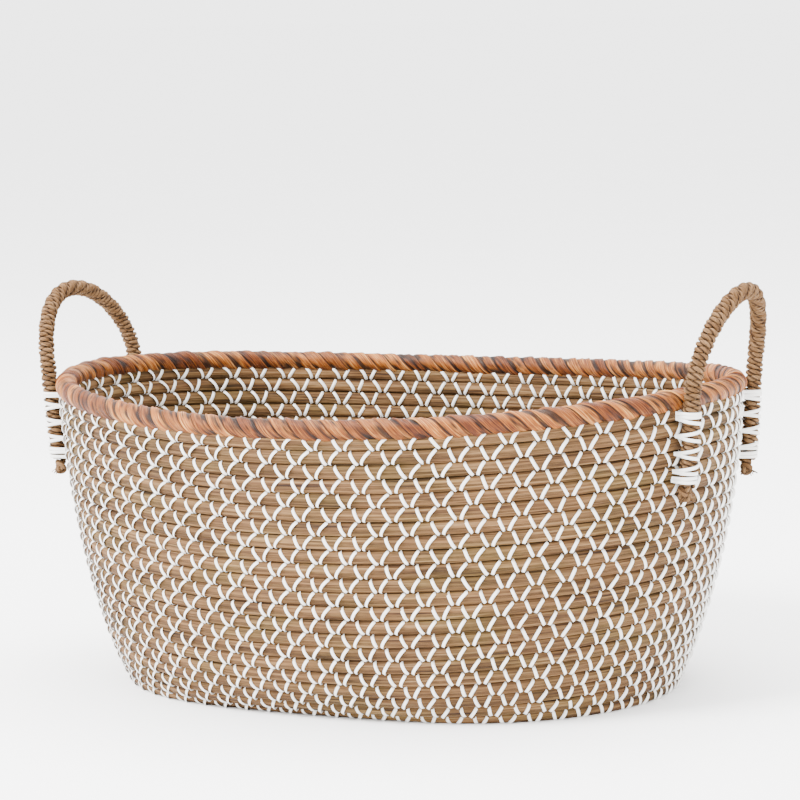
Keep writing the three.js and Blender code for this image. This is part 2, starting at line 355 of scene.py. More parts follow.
class WallField:
    """Reads points and directions anywhere on the wall, by share of the way round and level."""

    samples = 1536

    def __init__(self, shape: WallShape) -> None:
        """Samples every level at equal steps of its own length.

        Args:
            shape: the wall's shape.
        """
        self.shape = shape
        turn = np.linspace(0, FULL_TURN, 4 * self.samples + 1)
        lines = shape.lines(turn)
        steps = np.linalg.norm(np.diff(lines, axis=1), axis=-1)
        ways = np.concatenate([np.zeros((len(lines), 1)), np.cumsum(steps, axis=1)], axis=1)
        self.perimeter = ways[:, -1]
        even = np.arange(self.samples) / self.samples
        turns = [np.interp(even * way[-1], way, turn) for way in ways]
        self.middle = np.stack([read_line(at, turn, line) for at, line in zip(turns, lines)])
        after, before = np.roll(self.middle, -1, axis=1), np.roll(self.middle, 1, axis=1)
        self.along = unit(after - before)
        level = np.arange(shape.courses + 1)
        above, below = np.minimum(level + 1, shape.courses), np.maximum(level - 1, 0)
        rise = self.middle[above] - self.middle[below]
        self.outward = unit(np.cross(self.along, rise))
        self.upward = unit(np.cross(self.outward, self.along))

    def read(self, table: np.ndarray, share: np.ndarray, level: np.ndarray) -> np.ndarray:
        """Reads a table between its levels and samples, in proportion.

        Args:
            table: values shaped (level, sample, 3).
            share: share of the way round, repeating every 1.
            level: level numbers, whole or between two.

        Returns:
            Values in the shape of share and level together, with a last axis of 3.
        """
        share, level = np.broadcast_arrays(share, np.asarray(level, float))
        low = np.clip(np.floor(level), 0, self.shape.courses - 1).astype(int)
        way = np.mod(share, 1) * self.samples
        i = np.floor(way).astype(int) % self.samples
        j = (i + 1) % self.samples
        f, g = (way - np.floor(way))[..., None], (level - low)[..., None]
        lower = table[low, i] * (1 - f) + table[low, j] * f
        upper = table[low + 1, i] * (1 - f) + table[low + 1, j] * f
        return lower * (1 - g) + upper * g

    def point(self, share: np.ndarray, level: np.ndarray, out: np.ndarray) -> tuple[np.ndarray, np.ndarray]:
        """Points at a distance out of the wall's middle surface, and the outward directions there.

        Args:
            share: share of the way round.
            level: level numbers.
            out: distance out, negative towards the inside.

        Returns:
            The points and the unit outward directions.
        """
        normal = unit(self.read(self.outward, share, level))
        return self.read(self.middle, share, level) + normal * np.asarray(out)[..., None], normal


# ---------------------------------------------------------------- finishes


def linear(colour: str) -> tuple[float, float, float, float]:
    """An sRGB hex colour as linear RGBA."""
    parts = [int(colour[k:k + 2], 16) / 255 for k in (1, 3, 5)]
    red, green, blue = (c / 12.92 if c <= 0.04045 else ((c + 0.055) / 1.055) ** 2.4 for c in parts)
    return red, green, blue, 1.0


class Weave:
    """A material being put together: one method adds a node with its settings and links."""

    def __init__(self, name: str) -> None:
        """Starts a material with one Principled surface.

        Args:
            name: the material's name.
        """
        self.material = bpy.data.materials.new(name)
        self.material.use_nodes = True
        self.tree = self.material.node_tree
        self.surface = self.tree.nodes["Principled BSDF"]

    def add(self, kind: str, inputs: dict | None = None, **settings: object) -> bpy.types.Node:
        """Adds a node.

        Args:
            kind: the node's type, without ShaderNode.
            inputs: a value or another node's socket, by input name or number.
            **settings: the node's own settings.

        Returns:
            The new node.
        """
        node = self.tree.nodes.new("ShaderNode" + kind)
        for key, value in settings.items():
            setattr(node, key, value)
        self.feed(node, inputs or {})
        return node

    def feed(self, node: bpy.types.Node, inputs: dict) -> None:
        """Sets or links a node's inputs."""
        for key, value in inputs.items():
            if isinstance(value, bpy.types.NodeSocket):
                self.tree.links.new(value, node.inputs[key])
            else:
                node.inputs[key].default_value = value

    def ramp(self, factor: bpy.types.NodeSocket, stops: list[tuple[float, str]]) -> bpy.types.NodeSocket:
        """Colours for a factor, from stops of (position, sRGB hex)."""
        node = self.add("ValToRGB", {"Fac": factor})
        band = node.color_ramp
        while len(band.elements) < len(stops):
            band.elements.new(1.0)
        for element, (place, colour) in zip(band.elements, stops):
            element.position = place
            element.color = linear(colour)
        return node.outputs["Color"]

    def mixed(self, factor: object, first: object, second: object, how: str = "MIX") -> bpy.types.NodeSocket:
        """Two colours mixed or multiplied by a factor."""
        node = self.add("Mix", {0: factor, 6: first, 7: second}, data_type="RGBA", blend_type=how)
        return node.outputs[2]

    def maths(self, how: str, *values: object) -> bpy.types.NodeSocket:
        """The result of one Math node."""
        return self.add("Math", dict(enumerate(values)), operation=how).outputs[0]

    def noise(self, vector: bpy.types.NodeSocket, scale: tuple[float, float, float], detail: float = 2.0,
              rough: float = 0.5) -> bpy.types.NodeSocket:
        """Noise with its own number of cells for each unit of the vector's three axes."""
        placed = self.add("Mapping", {"Vector": vector, "Scale": scale})
        inputs = {"Vector": placed.outputs[0], "Scale": 1.0, "Detail": detail, "Roughness": rough}
        return self.add("TexNoise", inputs).outputs["Fac"]

    def attribute(self, name: str, output: str = "Vector") -> bpy.types.NodeSocket:
        """A mesh attribute's value."""
        return self.add("Attribute", attribute_name=name).outputs[output]

    def bump(self, height: bpy.types.NodeSocket, strength: float, distance: float) -> None:
        """Presses a height into the surface, with the full height in metres."""
        node = self.add("Bump", {"Height": height, "Strength": strength, "Distance": distance})
        self.feed(self.surface, {"Normal": node.outputs[0]})


@dataclass(frozen=True)
class SeagrassBundle:
    """Dried seagrass blades, air-cured and laid side by side.

    Drying leaves each blade its own tint from straw to olive, dull with a faint waxy sheen,
    and a fine lengthwise rib. Blades are about 1.5 mm wide and their ribs are drawn 0.6 mm
    apart, coarser than life so that they show.
    """

    blade_mm: float = 1.5
    rib_mm: float = 0.6
    blade_length_mm: float = 70.0
    roughness: float = 0.62

    def material(self) -> bpy.types.Material:
        """The material, on the flow attribute (round the basket, round the basket, across)."""
        m = Weave("dried seagrass")
        flow = m.attribute("flow")
        run = 1 / self.blade_length_mm
        blades = m.noise(flow, (run, run, 1 / self.blade_mm), 3.0, 0.55)
        ribs = m.noise(flow, (1.6 * run, 1.6 * run, 1 / self.rib_mm), 2.0, 0.6)
        place = m.add("TexCoord").outputs["Object"]
        patches = m.noise(place, (16.0, 16.0, 60.0), 2.0, 0.5)
        straw = m.ramp(blades, [(0.3, "#25150A"), (0.42, "#523820"), (0.55, "#6B4E30"), (0.72, "#836746")])
        olive = m.ramp(blades, [(0.3, "#251A09"), (0.45, "#4C3B1B"), (0.6, "#65502C"), (0.75, "#7C6740")])
        tint = m.ramp(patches, [(0.48, "#000000"), (0.68, "#D8D8D8")])
        colour = m.mixed(tint, straw, olive)
        lines = m.ramp(ribs, [(0.33, "#3A2814"), (0.43, "#FFFFFF")])
        colour = m.mixed(0.75, colour, lines, "MULTIPLY")
        # painted shade: multiplies the colour darker along the seams and in the hollows between blades
        crease = m.ramp(m.attribute("crease", "Fac"), [(0.0, "#4A3826"), (0.75, "#FFFFFF")])
        colour = m.mixed(0.85, colour, crease, "MULTIPLY")
        m.feed(m.surface, {"Base Color": colour, "Roughness": self.roughness, "IOR": 1.45,
                           "Specular IOR Level": 0.15})
        m.bump(m.maths("ADD", blades, m.maths("MULTIPLY", ribs, 0.6)), 0.8, 0.0012)
        return m.material


@dataclass(frozen=True)
class StitchRibbon:
    """Slit polypropylene film ribbon, stretched flat and white.

    The film is smooth and a little pearly along its drawn length, with fine lengthwise
    lines drawn 0.5 mm apart.
    """

    line_mm: float = 0.5
    roughness: float = 0.38

    def material(self) -> bpy.types.Material:
        """The material, on the flow attribute (along, across, ribbon number)."""
        m = Weave("white film ribbon")
        lines = m.noise(m.attribute("flow"), (0.05, 1 / self.line_mm, 1.0), 2.0, 0.5)
        colour = m.ramp(lines, [(0.3, "#D2CFC8"), (0.5, "#E6E5E1"), (0.75, "#F2F1EE")])
        m.feed(m.surface, {"Base Color": colour, "Roughness": self.roughness, "IOR": 1.49,
                           "Sheen Weight": 0.2, "Sheen Roughness": 0.4})
        m.bump(lines, 0.35, 0.0004)
        return m.material


@dataclass(frozen=True)
class LeafSheath:
    """Banana-leaf sheath torn into strips and wound on damp, so that it dries tight and creased.

    The outer skin is orange brown and satin. Painted shade makes it almost black brown in the folds and in
    the seams where one strip laps the next, and leaves the raised strips paler. Its fibres run along the
    strip, about 0.9 mm apart.
    """

    fibre_mm: float = 0.9
    roughness: float = 0.48

    def material(self) -> bpy.types.Material:
        """The material, on the flow attribute (along the strip, across it, strip number)."""
        m = Weave("banana leaf sheath")
        flow = m.attribute("flow")
        fibres = m.noise(flow, (0.045, 1 / self.fibre_mm, 1.0), 3.0, 0.6)
        stains = m.noise(flow, (0.06, 0.16, 1.0), 3.0, 0.6)
        tone = m.attribute("tone", "Fac")
        warm = m.ramp(fibres, [(0.3, "#3A1603"), (0.43, "#743A0C"), (0.55, "#955A20"), (0.72, "#C0935A")])
        dark = m.ramp(fibres, [(0.3, "#180700"), (0.45, "#461D04"), (0.6, "#6C370C"), (0.75, "#905B28")])
        colour = m.mixed(m.ramp(tone, [(0.3, "#000000"), (0.85, "#FFFFFF")]), warm, dark)
        stain = m.ramp(stains, [(0.3, "#7A4A2A"), (0.45, "#FFFFFF")])
        colour = m.mixed(0.7, colour, stain, "MULTIPLY")
        # painted shade: darkens the folds and the seams where one strip laps the next
        crease = m.ramp(m.attribute("crease", "Fac"), [(0.22, "#180A03"), (0.7, "#FFFFFF")])
        colour = m.mixed(0.9, colour, crease, "MULTIPLY")
        m.feed(m.surface, {"Base Color": colour, "Roughness": self.roughness, "IOR": 1.47,
                           "Specular IOR Level": 0.2})
        m.bump(m.maths("ADD", fibres, m.maths("MULTIPLY", stains, 0.7)), 0.8, 0.0012)
        return m.material


@dataclass(frozen=True)
class TwistedCord:
    """Seagrass twisted by hand into a two-ply cord.

    Each ply shows rounded and pale straw, with painted shade between the plies and, on the handle, on the
    side towards the core. Blade edges are drawn 0.7 mm apart along it.
    """

    edge_mm: float = 0.7
    roughness: float = 0.7

    def material(self) -> bpy.types.Material:
        """The material, on the flow attribute (along the cord, round it, ply)."""
        m = Weave("twisted seagrass cord")
        flow = m.attribute("flow")
        edges = m.noise(flow, (0.12, 1 / self.edge_mm, 1.0), 2.0, 0.55)
        tint = m.noise(flow, (0.035, 0.02, 1.0), 2.0, 0.5)
        pale = m.ramp(edges, [(0.3, "#3A2614"), (0.48, "#6B4F33"), (0.7, "#8E7153")])
        brown = m.ramp(edges, [(0.3, "#2A180A"), (0.48, "#573C23"), (0.7, "#77593B")])
        colour = m.mixed(m.ramp(tint, [(0.4, "#000000"), (0.6, "#FFFFFF")]), pale, brown)
        # painted shade: darkens the cord between its plies
        crease = m.ramp(m.attribute("crease", "Fac"), [(0.12, "#2E1A0E"), (0.68, "#FFFFFF")])
        colour = m.mixed(0.95, colour, crease, "MULTIPLY")
        m.feed(m.surface, {"Base Color": colour, "Roughness": self.roughness, "IOR": 1.45,
                           "Specular IOR Level": 0.12})
        m.bump(edges, 0.7, 0.0008)
        return m.material


@dataclass(frozen=True)
class BareCane:
    """Split cane, peeled and left bare: pale brown wood with fibres 1 mm apart."""

    roughness: float = 0.6

    def material(self) -> bpy.types.Material:
        """The material, on Object coordinates, for CAD cores that have no pattern of their own."""
        m = Weave("bare split cane")
        place = m.add("TexCoord").outputs["Object"]
        fibres = m.noise(place, (900.0, 900.0, 60.0), 3.0, 0.55)
        colour = m.ramp(fibres, [(0.3, "#34210D"), (0.5, "#5A3E1F"), (0.72, "#795C37")])
        m.feed(m.surface, {"Base Color": colour, "Roughness": self.roughness, "IOR": 1.5})
        m.bump(fibres, 0.5, 0.0005)
        return m.material


class Slot(Enum):
    """The record's material slots and the finish each piece takes from them."""

    COIL = "seagrass_coil"
    RIBBON = "stitch_ribbon"
    BARK = "bark_wrap"
    CANE = "cane_core"
    ROPE = "seagrass_rope"


FINISHES = {
    Slot.COIL: SeagrassBundle(),
    Slot.RIBBON: StitchRibbon(),
    Slot.BARK: LeafSheath(),
    Slot.CANE: BareCane(),
    Slot.ROPE: TwistedCord(),
}


class Dresser:
    """Gives pieces their materials and slots, making each material once."""

    def __init__(self) -> None:
        """Makes the materials."""
        self.materials = {slot: finish.material() for slot, finish in FINISHES.items()}

    def dress(self, piece: bpy.types.Object, slot: Slot) -> None:
        """Puts the slot's finish on a piece."""
        piece.data.materials.clear()
        piece.data.materials.append(self.materials[slot])

    def dress_node(self, piece: bpy.types.Object, slot: Slot) -> None:
        """Puts the slot's finish on a CAD node, through its own material slots."""
        for place in piece.material_slots:
            place.material = self.materials[slot]


# ---------------------------------------------------------------- coils


@dataclass(frozen=True)
class BundleSection:
    """The section of a bundle of blades, and how its blades stand out of it."""

    half_out: float = 4.9
    half_up: float = 5.35
    power: float = 2.5
    columns: int = 28
    blades: int = 11
    blade_depth: float = 0.34
    lump_depth: float = 0.42

    def relief(self, seed: int, way: np.ndarray, around: np.ndarray, length: float) -> np.ndarray:
        """How far the blades stand out.

        Long noise cells make broad lumps, and narrower ones, which drift round the bundle
        as the blades do in a loose twist, make the single blades.

        Args:
            seed: seed of this bundle.
            way: share of the way along the bundle.
            around: share of the way round its section.
            length: the bundle's length.

        Returns:
            Millimetres, from about -0.8 to 0.8.
        """
        cells = max(int(length / 60), 4)
        drift = around + 0.06 * closed_noise(seed + 1, cells, 1, way, around * 0)
        lumps = closed_noise(seed + 2, cells, 6, way, drift)
        blades = closed_noise(seed + 3, 2 * cells, self.blades * 2, way, drift)
        return self.lump_depth * lumps + self.blade_depth * blades


@dataclass(frozen=True)
class CoilWall:
    """The stitched wall: one bundle for each course, its blades pressed flat at the seams."""

    field: WallField
    section: BundleSection = BundleSection()
    stops: int = 640
    pressed: float = 0.75
    flow_step: float = 37.0
    seed: int = 100

    def course(self, level: int) -> bpy.types.Object:
        """One round of the coil, carried round the wall's line at a level."""
        section = self.section
        way = (np.arange(self.stops) / self.stops)[:, None]
        around = (np.arange(section.columns) / section.columns)[None, :]
        out, up = squircle(around * FULL_TURN, section.power)
        relief = section.relief(self.seed + 10 * level, way, around, self.field.perimeter[level])
        relief = relief * (1 - self.pressed * up**4)
        grow = 1 + relief / section.half_up
        middle = self.field.read(self.field.middle, way, level)
        outward = self.field.read(self.field.outward, way, level)
        upward = self.field.read(self.field.upward, way, level)
        points = middle + outward * (out * section.half_out * grow)[..., None] \
            + upward * (up * section.half_up * grow)[..., None]
        radius = self.field.perimeter[level] / FULL_TURN
        angle = way * FULL_TURN
        across = around * FULL_TURN * section.half_out + level * self.flow_step
        flow = stacked(relief.shape, radius * np.cos(angle), radius * np.sin(angle), across)
        # painted shade, darkest at the seams above and below the bundle and in the hollows between blades
        crease = np.clip(0.62 + relief * 0.5, 0, 1) * np.clip(1.25 - np.abs(up) ** 6, 0, 1)
        name = f"course_{level + 1:02d}_bundle"
        faces = tube_faces(self.stops, section.columns, ring=True)
        return make_piece(name, points, faces, {"flow": flow, "crease": crease})

    def build(self, dresser: Dresser) -> None:
        """Makes, dresses and places every course."""
        for level in range(self.field.shape.courses):
            piece = self.course(level)
            dresser.dress(piece, Slot.COIL)
            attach(piece, BASKET)
            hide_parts(f"wall_course_{level + 1:02d}")


@dataclass(frozen=True)
class BaseCoil:
    """The oval spiral that is the floor of the basket."""

    shape: WallShape
    section: BundleSection = BundleSection(half_out=5.0, half_up=4.55, columns=16, blades=7)
    step: float = 2.6
    lift: float = 0.6
    smallest: float = 0.25
    start_tuck: float = 5.5
    start_taper: float = 12.0
    start_size: float = 0.75
    start_stops: int = 30
    turn_stops: int = 60
    last_share: float = 0.75
    flat_foot: float = 0.93
    seed: int = 50

    def half_turn(self, radius: float, side: int, share: np.ndarray) -> tuple[np.ndarray, np.ndarray]:
        """Plan points and outward normals of half a turn of the oval.

        Args:
            radius: of the half turn.
            side: 1 for the right end, -1 for the left.
            share: from 0 to 1 through the half turn.

        Returns:
            The points and the normals.
        """
        around = math.pi * share
        normal = np.stack([np.sin(around) * side, -np.cos(around) * side], -1)
        out = self.shape.base_half_straight * self.shape.straight_share(normal[:, 0])
        back = np.full_like(out, self.shape.base_pitch / 2 if side > 0 else 0.0)
        return np.stack([out, back], -1) + normal * radius, normal

    def route(self) -> tuple[np.ndarray, np.ndarray, np.ndarray]:
        """The coil from the middle of the base to its tapered end.

        A straight run fills the middle, with its end tucked into the turn around it, and half
        turns follow that grow by half a pitch each. The last one thins out as the room between
        the spiral and the first course closes.

        Returns:
            Plan points, outward normals and sizes, in even steps along the coil.
        """
        shape = self.shape
        share = np.arange(self.turn_stops) / self.turn_stops
        reach = shape.base_half_straight + self.start_tuck
        back = np.linspace(reach, 1.0, self.start_stops)
        plans = [np.stack([-back, np.zeros_like(back)], -1)]
        normals = [np.tile([0.0, -1.0], (self.start_stops, 1))]
        sizes = [np.interp(reach - back, [0, self.start_taper], [self.start_size, 1.0])]
        for turn in range(1, shape.base_turns + 1):
            for radius, side in (((turn - 0.5) * shape.base_pitch, 1), (turn * shape.base_pitch, -1)):
                plan, normal = self.half_turn(radius, side, share)
                plans.append(plan)
                normals.append(normal)
                sizes.append(np.ones(len(share)))
        radius = (shape.base_turns - 0.5) * shape.base_pitch
        inner, normal = self.half_turn(radius, 1, share * self.last_share)
        outer = shape.outline(normal, 0.0)
        room = np.einsum("ij,ij->i", outer - inner, normal) - shape.base_pitch - shape.base_edge_step
        size = np.maximum(1 + room / shape.base_pitch, self.smallest)
        plans.append(inner + normal * (shape.base_pitch * (1 + size) / 2)[:, None])
        normals.append(normal)
        sizes.append(size)
        plan, normal, size = np.concatenate(plans), np.concatenate(normals), np.concatenate(sizes)
        lengths = travelled(plan)
        lengths += np.arange(len(lengths)) * 1e-6
        even = np.arange(0, lengths[-1], self.step)
        normals = unit(read_line(even, lengths, normal))
        return read_line(even, lengths, plan), normals, np.interp(even, lengths, size)

    def build(self, dresser: Dresser) -> None:
        """Makes, dresses and places the coil."""
        section = self.section
        plan, normal, size = self.route()
        stops = len(plan)
        length = stops * self.step
        way = (np.arange(stops) / stops)[:, None]
        around = (np.arange(section.columns) / section.columns)[None, :]
        out, up = squircle(around * FULL_TURN, section.power)
        relief = section.relief(self.seed, way, around, length)
        grow = (1 + relief / section.half_up) * size[:, None]
        radial = out * section.half_out * grow
        rise = np.clip(up, -self.flat_foot, 1) * section.half_up * grow
        height = self.lift + section.half_up * size[:, None] + rise
        flat = plan[:, None] + normal[:, None] * radial[..., None]
        points = np.concatenate([flat, height[..., None]], -1)
        flow = stacked(relief.shape, way * length, 0.0, around * FULL_TURN * section.half_out)
        # painted shade, darkest at the seams where each turn meets the next and in the hollows between
        # blades
        crease = np.clip(0.62 + relief * 0.5, 0, 1) * np.clip(1.25 - np.abs(out) ** 6, 0, 1)
        faces = tube_faces(stops, section.columns, ring=False)
        piece = make_piece("base_bundle", points, faces, {"flow": flow, "crease": crease})
        dresser.dress(piece, Slot.COIL)
        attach(piece, BASKET)
        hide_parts("base_coil")


# ---------------------------------------------------------------- stitches


@dataclass(frozen=True)
class StitchNet:
    """The white ribbon that sews each course to the one below it, in a net of V stitches.

    A stitch leaves the lower seam at its foot, and its two arms reach the upper seam just
    inside the feet of the next row, which stand half a stitch to either side.
    """

    field: WallField
    stitches: int = 63
    width: float = 2.4
    thickness: float = 0.45
    foot_gap: float = 2.7
    head_gap: float = 4.1
    stops: int = 8
    stand_off: float = 0.55
    rising_lift: float = 0.6
    rising_tilt: float = 0.5
    falling_bend: float = 0.82
    rising_bend: float = 2.0
    wander: float = 0.045
    seam_reach: float = 0.49
    seed: int = 900

    def feet(self, row: int) -> np.ndarray:
        """Shares of the way round at which a row's stitches have their feet."""
        rng = np.random.default_rng(self.seed + row)
        even = np.arange(self.stitches) + 0.5 * (row % 2)
        return (even + rng.uniform(-self.wander, self.wander, self.stitches)) / self.stitches

    def arms(self, row: int, side: int) -> tuple[np.ndarray, np.ndarray, np.ndarray]:
        """The middle lines of one row's stitches.

        One arm is pulled straight. The other lies over it at the foot, rises steeply and then
        bends over, as a power of its height, with its free edge turned up.

        Args:
            row: the course that the stitches cross.
            side: 1 for the outside of the wall, -1 for the inside.

        Returns:
            Points and normals shaped (arm, stop, 3), and each arm's tilt.
        """
        field = self.field
        feet = self.feet(row)
        heads = self.feet(row + 1)
        slip = 1 if row % 2 == 0 else 0
        left, right = np.roll(heads, slip), np.roll(heads, slip - 1)
        left = left + np.round(feet - left)
        right = right + np.round(feet - right)
        scale = 1 / field.perimeter[row]
        rise = np.sin(np.linspace(-math.pi / 2, math.pi / 2, self.stops)) * self.seam_reach
        share = rise + 0.5
        foot, head = feet[:, None], [end[:, None] for end in (left, right)]
        fall_share, rise_share = share**self.falling_bend, share**self.rising_bend
        fall_start = foot - self.foot_gap / 2 * scale
        rise_start = foot + self.foot_gap / 2 * scale
        falling = fall_start + (head[0] + self.head_gap * scale - fall_start) * fall_share
        rising = rise_start + (head[1] - self.head_gap * scale - rise_start) * rise_share
        way = np.concatenate([falling, rising])
        stand = self.stand_off + np.repeat([0.0, self.rising_lift], len(feet))[:, None]
        bundle = BundleSection()
        bulge = bundle.half_out * (1 - np.abs(2 * rise) ** bundle.power) ** (1 / bundle.power)
        out = side * (bulge + stand * np.minimum(bulge / 3, 1))
        level = np.broadcast_to(row + rise, way.shape)
        points, normals = field.point(way, level, out)
        tilt = np.repeat([0.0, self.rising_tilt * side], len(feet))
        return points, normals * side, tilt

    def build(self, dresser: Dresser) -> None:
        """Makes, dresses and places the net, in two halves for each side of the wall."""
        middle = self.field.shape.courses // 2
        halves = {"low": range(middle), "high": range(middle, self.field.shape.courses)}
        for place, side in (("outside", 1), ("inside", -1)):
            for part, rows in halves.items():
                parts = [self.arms(row, side) for row in rows]
                centres, normals, tilt = (np.concatenate(k) for k in zip(*parts))
                points, faces, flow = ribbon_mesh(centres, normals, self.width, self.thickness, tilt)
                piece = make_piece(f"stitches_{place}_{part}", points, faces, {"flow": flow})
                dresser.dress(piece, Slot.RIBBON)
                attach(piece, BASKET)


@dataclass(frozen=True)
class BaseStitches:
    """V stitches that hold each turn of the base spiral to the one inside it."""

    base: BaseCoil
    spacing: float = 20.0
    width: float = 2.5
    thickness: float = 0.4
    foot_gap: float = 3.4
    stops: int = 7
    seam_reach: float = 0.98
    upper_bulge: float = 1.1
    lowest: float = 0.25

    def build(self, dresser: Dresser) -> None:
        """Makes, dresses and places the stitches on the upper and under side."""
        plan, normal, size = self.base.route()
        section, step = self.base.section, self.base.step
        way = np.arange(1, int(len(plan) * step / self.spacing) - 1) * self.spacing
        cross = np.sin(np.linspace(-math.pi / 2, math.pi / 2, self.stops)) * self.seam_reach
        reach = (cross + 1) / 2 * (self.spacing / 2 - self.foot_gap)
        foot = way[:, None]
        along = np.concatenate([foot - self.foot_gap / 2 - reach, foot + self.foot_gap / 2 + reach])
        index = np.arange(len(plan)) * step
        middle = read_line(along, index, plan)
        away = unit(read_line(along, index, normal))
        thick = np.interp(along, index, size)
        bulge = (1 - np.abs(cross) ** section.power) ** (1 / section.power)
        flat = middle + away * (cross * section.half_out * thick)[..., None]
        for place, side, swell in (("upper", 1, self.upper_bulge), ("under", -1, 1.0)):
            rise = section.half_up * thick * (1 + side * bulge * swell)
            height = np.maximum(self.base.lift + rise, self.lowest)
            centres = np.concatenate([flat, height[..., None]], -1)
            normals = np.broadcast_to(np.array([0.0, 0.0, side]), centres.shape)
            points, faces, flow = ribbon_mesh(centres, normals, self.width, self.thickness)
            piece = make_piece(f"base_stitches_{place}", points, faces, {"flow": flow})
            dresser.dress(piece, Slot.RIBBON)
            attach(piece, BASKET)


# ---------------------------------------------------------------- rim


@dataclass(frozen=True)
class RimRoll:
    """The rim: strips of leaf sheath wound on a slant round a cane core, each lapping the last."""

    field: WallField
    strips: int = 108
    starts: int = 3
    rows_each: int = 21
    columns: int = 40
    lap: float = 1.45
    fold_depth: float = 0.55
    sag_depth: float = 0.4
    sink: float = 0.7
    lip_share: float = 0.07
    seam_shade_share: float = 0.05
    strip_mm: float = 11.0
    flow_step: float = 9.0
    slant: float = math.radians(50)
    seed: int = 700

    def build(self, dresser: Dresser) -> None:
        """Makes, dresses and places the roll.

        The grid runs with the strips: one step round the roll also slips back along it, by
        three strips in a whole turn. Within a strip the surface falls from its raised edge
        to where the next strip laps it, and narrow noise along the strip makes its folds.
        """
        field, shape = self.field, self.field.shape
        rows = self.strips * self.rows_each
        step = np.arange(rows)[:, None]
        around = (np.arange(self.columns) / self.columns)[None, :]
        number, place = step // self.rows_each, (step % self.rows_each) / self.rows_each
        way = (step - around * self.starts * self.rows_each) / rows
        rng = np.random.default_rng(self.seed)
        raised = rng.uniform(0.55, 1.3, self.strips)[number]
        lip = np.clip(place / self.lip_share, 0, 1)
        fall = lip * (1 - place) ** 0.8
        folds = closed_noise(self.seed + 2, self.strips * 5, 7, step / rows, around)
        sags = closed_noise(self.seed + 3, self.strips, 5, step / rows, around)
        height = self.lap * raised * fall + self.fold_depth * folds * lip + self.sag_depth * sags
        radius = shape.rim_radius - self.sink + height
        angle = -math.pi / 2 + around * FULL_TURN
        level = float(shape.courses)
        middle = field.read(field.middle, way, level)
        outward = field.read(field.outward, way, level)
        upward = field.read(field.upward, way, level)
        points = round_line(middle, outward, upward, angle, radius)
        wide = (rows, self.columns)
        strip_run = around * FULL_TURN * shape.rim_radius / math.sin(self.slant)
        flow = stacked(wide, strip_run, place * self.strip_mm, number * self.flow_step)
        # painted shade: darkest in the seam between strips, where each strip dips under the next, and in the
        # folds, lighter on strips that stand higher
        edge = np.clip(place / self.seam_shade_share, 0, 1)
        crease = np.clip(0.15 + 1.1 * fall * raised + 0.5 * folds, 0, 1) * edge
        tone = np.broadcast_to(rng.uniform(0, 1, self.strips)[number], wide)
        faces = tube_faces(rows, self.columns, ring=True, shift=self.starts * self.rows_each)
        attributes = {"flow": flow, "crease": np.broadcast_to(crease, wide), "tone": tone}
        piece = make_piece("rim_strips", points, faces, attributes)
        dresser.dress(piece, Slot.BARK)
        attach(piece, BASKET)
        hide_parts("rim_wrap")


# ---------------------------------------------------------------- handles


class End(Enum):
    """The two ends of the basket, with the direction in which each one faces."""

    LEFT = -1
    RIGHT = 1


